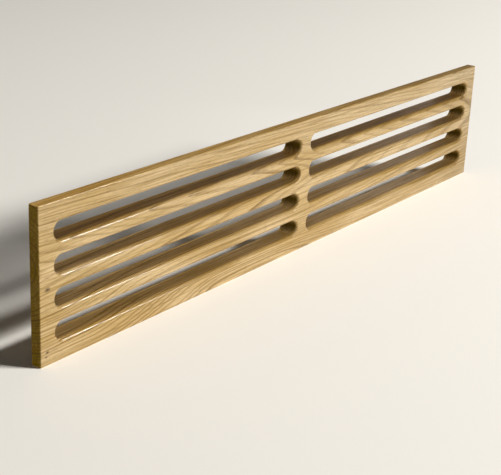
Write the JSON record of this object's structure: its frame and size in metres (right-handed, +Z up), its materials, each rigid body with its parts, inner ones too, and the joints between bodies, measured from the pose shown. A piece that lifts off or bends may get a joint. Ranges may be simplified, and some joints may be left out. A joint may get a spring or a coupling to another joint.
{
  "type": "ventilation grille",
  "caption": "Solid oak ventilation grille: a rebated rectangular panel with rows of round-ended slots, set into a cut-out in a cabinet plinth so that air passes through.",
  "frame": {"origin": "centre of the seat plane, where the back of the plate's lip meets the plinth, which is also the centre of the box", "axes": "+X along the length and the grain, +Y into the cut-out, away from the viewer, +Z up"},
  "size_m": [0.57, 0.016, 0.106],
  "materials": {
    "oak": "clear satin lacquer"
  },
  "bodies": {
    "root": {"grille_panel": "oak"}
  },
  "joints": []
}
